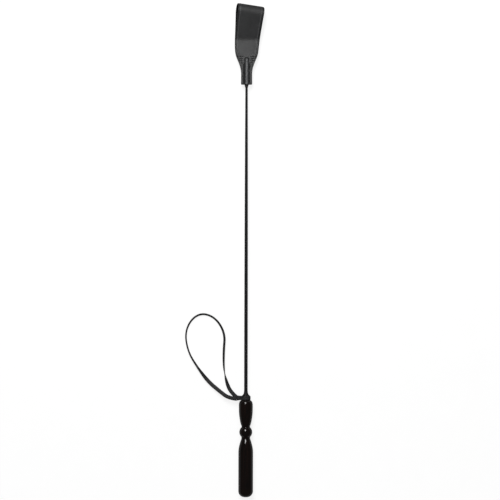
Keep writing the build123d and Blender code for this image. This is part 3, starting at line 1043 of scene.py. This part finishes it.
class OBJECT_OT_crop_keeper(CropOperator, bpy.types.Operator):
    """Fold and sew the leather keeper"""

    bl_idname = "object.crop_keeper"
    bl_label = "Keeper"

    def execute(self, context):
        sizes = context.scene.crop_keeper
        piece, inside = keeper_piece(sizes)
        hide = leather_finish("keeper_leather", sizes.dye, 1500.0, 0.05 * MM, 0.45, 0.5)
        dress(piece, None, "keeper_leather", hide, "keeper_front_leaf", "keeper_back_leaf", "keeper_fold")
        # Inner faces: the matt flesh side, painted nearly black as painted shade between the layers.
        piece.data.materials.append(flesh_side(sizes.dye))
        piece.data.polygons.foreach_set("material_index", inside.astype(np.int32))
        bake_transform(piece)
        thread = wound_thread("sewing_thread", sizes.thread, 2600.0, 0.5)
        sewing = stitch_piece("keeper_sewing", stitch_places(), sizes.leather - 0.1 * MM, 2.5 * MM, 0.34 * MM)
        dress(sewing, "crop", "thread", thread, "channel_stitches_left", "channel_stitches_right",
              "cross_stitches_left", "cross_stitches_right")
        return {"FINISHED"}


class OBJECT_OT_crop_strap(CropOperator, bpy.types.Operator):
    """Cut the lace, turn it round the neck and lay out its loop"""

    bl_idname = "object.crop_strap"
    bl_label = "Wrist strap"

    def execute(self, context):
        sizes = context.scene.crop_strap
        hide = leather_finish("lace_leather", sizes.dye, 2600.0, 0.03 * MM, 0.46, 0.22, painted_sheen=0.35)
        loop, line = lace_loop(sizes)
        dress(loop, None, "strap_leather", hide, "wrist_loop")
        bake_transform(loop)
        turn = lace_turn(sizes, context.scene.crop_handle.neck_radius)
        dress(turn, "strap_neck", "strap_leather", hide, "strap_turn")
        low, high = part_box("strap_tack")
        place = [((low.x + high.x) / 2, PIVOT[1], math.pi / 2)]
        thread = wound_thread("tack_thread", context.scene.crop_keeper.thread, 2600.0, 0.5)
        tack = stitch_piece("strap_tacking", place, sizes.thickness, 3.2 * MM, 0.32 * MM)
        dress(tack, "strap_neck", "thread", thread, "strap_tack")
        return {"FINISHED"}


class OBJECT_OT_crop_stage(CropOperator, bpy.types.Operator):
    """Lay the pale floor and place the lamps and the camera"""

    bl_idname = "object.crop_stage"
    bl_label = "Stage"

    def execute(self, context):
        sizes = context.scene.crop_stage
        make_floor()
        make_lamps(sizes)
        make_camera(sizes)
        context.scene.view_settings.view_transform = "Standard"
        return {"FINISHED"}


def make_floor():
    """Wide flat floor, white where it is seen, that keeps a soft shadow."""
    reach = 30.0
    mesh = bpy.data.meshes.new("floor")
    mesh.from_pydata([(x * reach, y * reach, FLOOR) for x, y in ((-1, -1), (1, -1), (1, 1), (-1, 1))], [],
                     [(0, 1, 2, 3)])
    floor = bpy.data.objects.new("floor", mesh)
    bpy.context.scene.collection.objects.link(floor)
    material = bpy.data.materials.new("white_floor")
    material.use_nodes = True
    tree = material.node_tree
    tree.nodes.clear()
    rays = add(tree, "LightPath").outputs
    mirrored = maths(tree, "ADD", rays["Is Glossy Ray"], rays["Is Transmission Ray"], clamp=True)
    glow_seen, glow_mirrored = 0.83, 0.12
    seen = maths(tree, "MULTIPLY", rays["Is Camera Ray"], glow_seen)
    strength = maths(tree, "MULTIPLY_ADD", mirrored, glow_mirrored, seen)
    glow = add(tree, "Emission", {"Color": (1, 1, 1, 1), "Strength": strength})
    paper = noise(tree, add(tree, "TexCoord").outputs["Object"], 40.0)
    tint = mixed(tree, paper, (0.21, 0.21, 0.21, 1), (0.23, 0.23, 0.23, 1))
    matt = add(tree, "BsdfDiffuse", {"Color": tint})
    both = add(tree, "AddShader", {0: glow.outputs[0], 1: matt.outputs[0]})
    tree.links.new(both.outputs[0], tree.nodes.new("ShaderNodeOutputMaterial").inputs["Surface"])
    mesh.materials.append(material)


def lamp(name, place, target, size, size_y, power, mirrored=True):
    """Area lamp that faces a point."""
    data = bpy.data.lights.new(name, "AREA")
    data.shape = "RECTANGLE"
    data.size = size
    data.size_y = size_y
    data.energy = power
    made = bpy.data.objects.new(name, data)
    made.location = place
    made.rotation_euler = (Vector(target) - Vector(place)).to_track_quat("-Z", "Y").to_euler()
    made.visible_glossy = mirrored
    bpy.context.scene.collection.objects.link(made)


def make_lamps(sizes):
    """Soft key beyond the crop's middle, broad fill overhead, and a dim world that looks white."""
    lamp("key", (-0.26, 1.50, 1.80), (0, 0.30, 0), 0.80, 1.05, sizes.key_power)
    lamp("fill", (0.2, 0.2, 3.0), (0, 0.3, 0), 3.0, 3.0, sizes.fill_power, mirrored=False)
    world = bpy.data.worlds.new("pale_room")
    world.use_nodes = True
    tree = world.node_tree
    seen = add(tree, "LightPath").outputs["Is Camera Ray"]
    room = mixed(tree, seen, (*sizes.world, 1.0), (1.0, 1.0, 1.0, 1.0))
    tree.links.new(room, tree.nodes["Background"].inputs["Color"])
    bpy.context.scene.world = world


def make_camera(sizes):
    """Camera straight above, with the keeper at the top of the view."""
    data = bpy.data.cameras.new("camera")
    data.lens = 100.0
    data.sensor_width = 36.0
    camera = bpy.data.objects.new("camera", data)
    camera.location = (0.0051, 0.296, sizes.view_width * data.lens / data.sensor_width)
    camera.rotation_euler = (0, 0, math.radians(0.13))
    bpy.context.scene.collection.objects.link(camera)
    bpy.context.scene.camera = camera


class VIEW3D_PT_crop(bpy.types.Panel):
    """Sidebar panel with the crop's settings and steps"""

    bl_idname = "VIEW3D_PT_crop"
    bl_label = "Riding crop"
    bl_space_type = "VIEW_3D"
    bl_region_type = "UI"
    bl_category = "Riding crop"

    def draw(self, context):
        for label, (_, steps) in GROUPS.items():
            box = self.layout.box()
            settings = getattr(context.scene, label)
            for name in settings.__annotations__:
                box.prop(settings, name)
            for step in steps:
                box.operator(step.bl_idname)


# Name of each group of settings in the scene, its class and the operators that use it.
GROUPS = {
    "crop_handle": (CropHandleSettings, [OBJECT_OT_crop_handle]),
    "crop_shaft": (CropShaftSettings, [OBJECT_OT_crop_shaft, OBJECT_OT_crop_windings]),
    "crop_keeper": (CropKeeperSettings, [OBJECT_OT_crop_keeper]),
    "crop_strap": (CropStrapSettings, [OBJECT_OT_crop_strap]),
    "crop_stage": (CropStageSettings, [OBJECT_OT_crop_stage]),
}
CLASSES = [cls for settings, steps in GROUPS.values() for cls in (settings, *steps)] + [VIEW3D_PT_crop]


def register():
    for cls in CLASSES:
        bpy.utils.register_class(cls)
    for label, (settings, _) in GROUPS.items():
        setattr(bpy.types.Scene, label, PointerProperty(type=settings))


def unregister():
    for label in GROUPS:
        delattr(bpy.types.Scene, label)
    for cls in reversed(CLASSES):
        bpy.utils.unregister_class(cls)


def main():
    """Builds everything."""
    register()
    bpy.ops.object.crop_stage()
    bpy.ops.object.crop_strap()
    bpy.ops.object.crop_handle()
    bpy.ops.object.crop_shaft()
    bpy.ops.object.crop_windings()
    bpy.ops.object.crop_keeper()


if __name__ == "__main__":
    main()
